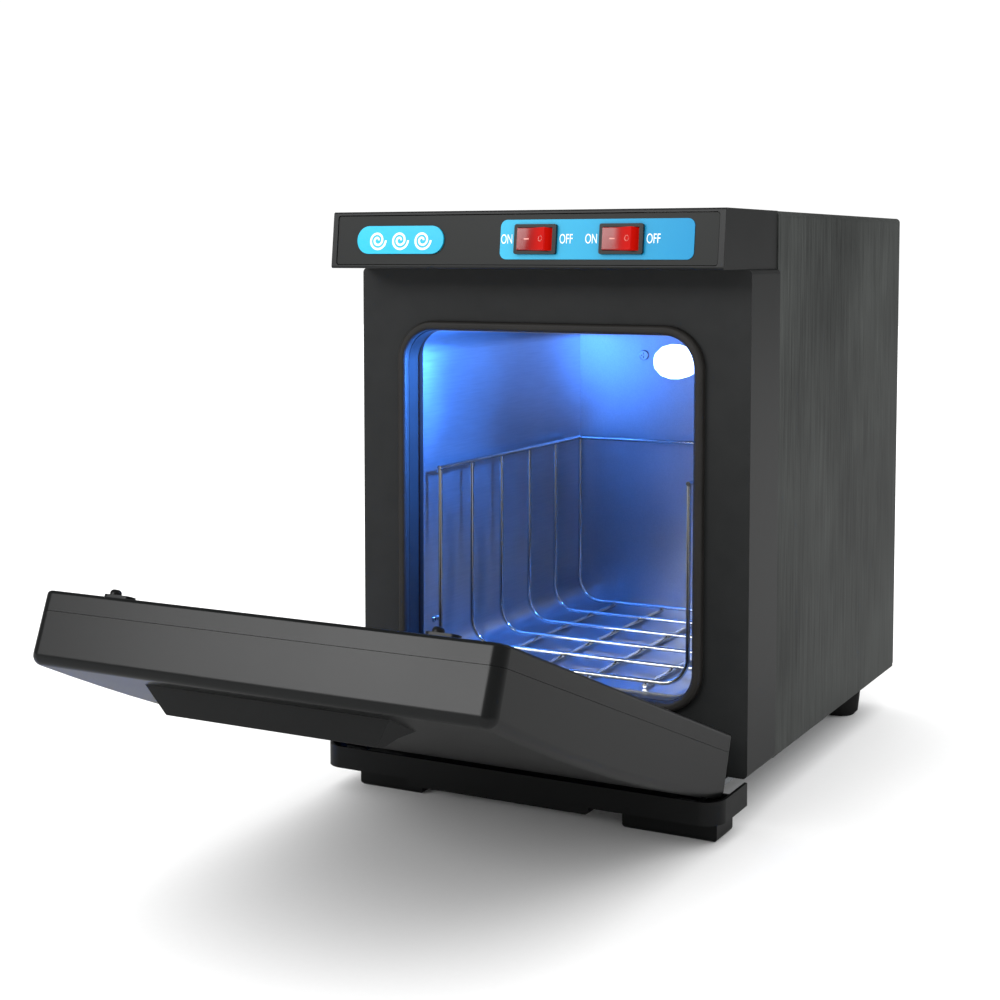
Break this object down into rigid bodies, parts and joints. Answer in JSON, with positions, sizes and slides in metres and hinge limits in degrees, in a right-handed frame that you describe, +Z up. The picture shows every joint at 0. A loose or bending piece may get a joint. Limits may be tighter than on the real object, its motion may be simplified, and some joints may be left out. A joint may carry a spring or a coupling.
{
  "type": "hot towel cabinet",
  "caption": "Compact benchtop hot towel cabinet with a drop-down front door, lit metal chamber, wire rack, top control hood with two rocker switches and a drip tray below.",
  "frame": {"origin": "on the table plane under the middle of the cabinet with its door down", "axes": "+X to the right seen from the front, +Y to the back of the cabinet, +Z up"},
  "size_m": [0.2176, 0.5238, 0.2971],
  "materials": {
    "black_screw": "black oxide steel",
    "blue_polycarbonate": "printed cyan-blue film, glossy",
    "bright_steel": "nickel-plated steel",
    "chrome_wire": "chromed steel wire",
    "ferrite": "sintered ferrite, dull grey-black",
    "foam_sheet": "polyethylene foam",
    "glass_felt": "glass-fibre felt",
    "gloss_black_abs": "injection-moulded ABS, high gloss",
    "lamp_glass": "frosted lamp glass, glowing",
    "orange_silicone": "silicone heater mat",
    "phenolic": "pressed phenolic",
    "plate_foil": "blank foil plate",
    "polished_aluminium": "bright rolled aluminium sheet",
    "powder_coated_steel": "charcoal coating with a fine vertical brushed grain",
    "red_lens": "translucent red polycarbonate, lit",
    "rubber": "moulded black rubber",
    "satin_black_abs": "injection-moulded ABS, semi-gloss",
    "satin_grey_abs": "moulded ABS, charcoal, satin",
    "silicone_seal": "extruded silicone, dark grey-brown",
    "switch_nylon": "moulded black nylon",
    "textured_black_abs": "injection-moulded ABS, fine spark texture",
    "tinned_brass": "tinned brass",
    "white_ceramic": "glazed ceramic",
    "zinc_plated_steel": "bright zinc plate"
  },
  "bodies": {
    "cabinet": {"ballast_bracket": "zinc_plated_steel", "base_plate": "zinc_plated_steel", "bracket_screws": "bright_steel", "cable_gland": "switch_nylon", "catch_magnets": "ferrite", "chamber_liner": "polished_aluminium", "control_hood": "gloss_black_abs", "control_panel": "satin_grey_abs", "door_gasket": "silicone_seal", "face_frame": "gloss_black_abs", "foot_front_left": "rubber", "foot_front_right": "rubber", "foot_rear_left": "rubber", "foot_rear_right": "rubber", "foot_screws": "bright_steel", "heater_clamp": "zinc_plated_steel", "heater_mat": "orange_silicone", "hinge_bracket_left": "zinc_plated_steel", "hinge_bracket_right": "zinc_plated_steel", "insulation_blanket": "glass_felt", "lamp_ballast": "phenolic", "lamp_holder": "white_ceramic", "liner_rivets": "bright_steel", "name_badge": "blue_polycarbonate", "outer_wrap": "powder_coated_steel", "rating_plate": "plate_foil", "rear_panel": "powder_coated_steel", "rear_screws": "black_screw", "switch_body_1": "switch_nylon", "switch_body_2": "switch_nylon", "switch_label": "blue_polycarbonate", "switch_terminals": "tinned_brass", "terminal_block": "white_ceramic", "thermal_fuse": "tinned_brass", "thermostat": "phenolic", "tray_rails": "switch_nylon", "uv_bulb": "lamp_glass"},
    "door": {"door_cover": "satin_black_abs", "door_liner": "satin_black_abs", "door_insulation": "foam_sheet", "door_handle": "textured_black_abs", "handle_screws": "bright_steel", "catch_seats": "switch_nylon", "catch_studs": "bright_steel", "hinge_pins": "bright_steel"},
    "rack": {"rack_hoops": "chrome_wire", "rack_rails": "chrome_wire", "rack_floor_wires": "chrome_wire"},
    "tray": {"drip_tray": "textured_black_abs"},
    "rocker_1": {"rocker_1": "red_lens"},
    "rocker_2": {"rocker_2": "red_lens"}
  },
  "joints": [
    {"name": "door_hinge", "type": "hinge", "parent": "cabinet", "child": "door", "pos_m": [0, -0.03787, 0.026], "axis": [1, 0, 0], "range_deg": [-68.7, 0]},
    {"name": "rack_slide", "type": "slide", "parent": "cabinet", "child": "rack", "axis": [0, -0.9317, 0.3633], "range_m": [0, 0.115]},
    {"name": "tray_slide", "type": "slide", "parent": "cabinet", "child": "tray", "axis": [0, -1, 0], "range_m": [0, 0.05]},
    {"name": "rocker_1_tilt", "type": "hinge", "parent": "cabinet", "child": "rocker_1", "pos_m": [0.0102, -0.03191, 0.28234], "axis": [0, 0.112, 0.9937], "range_deg": [0, 18]},
    {"name": "rocker_2_tilt", "type": "hinge", "parent": "cabinet", "child": "rocker_2", "pos_m": [0.0552, -0.03191, 0.28234], "axis": [0, 0.112, 0.9937], "range_deg": [0, 18]}
  ]
}
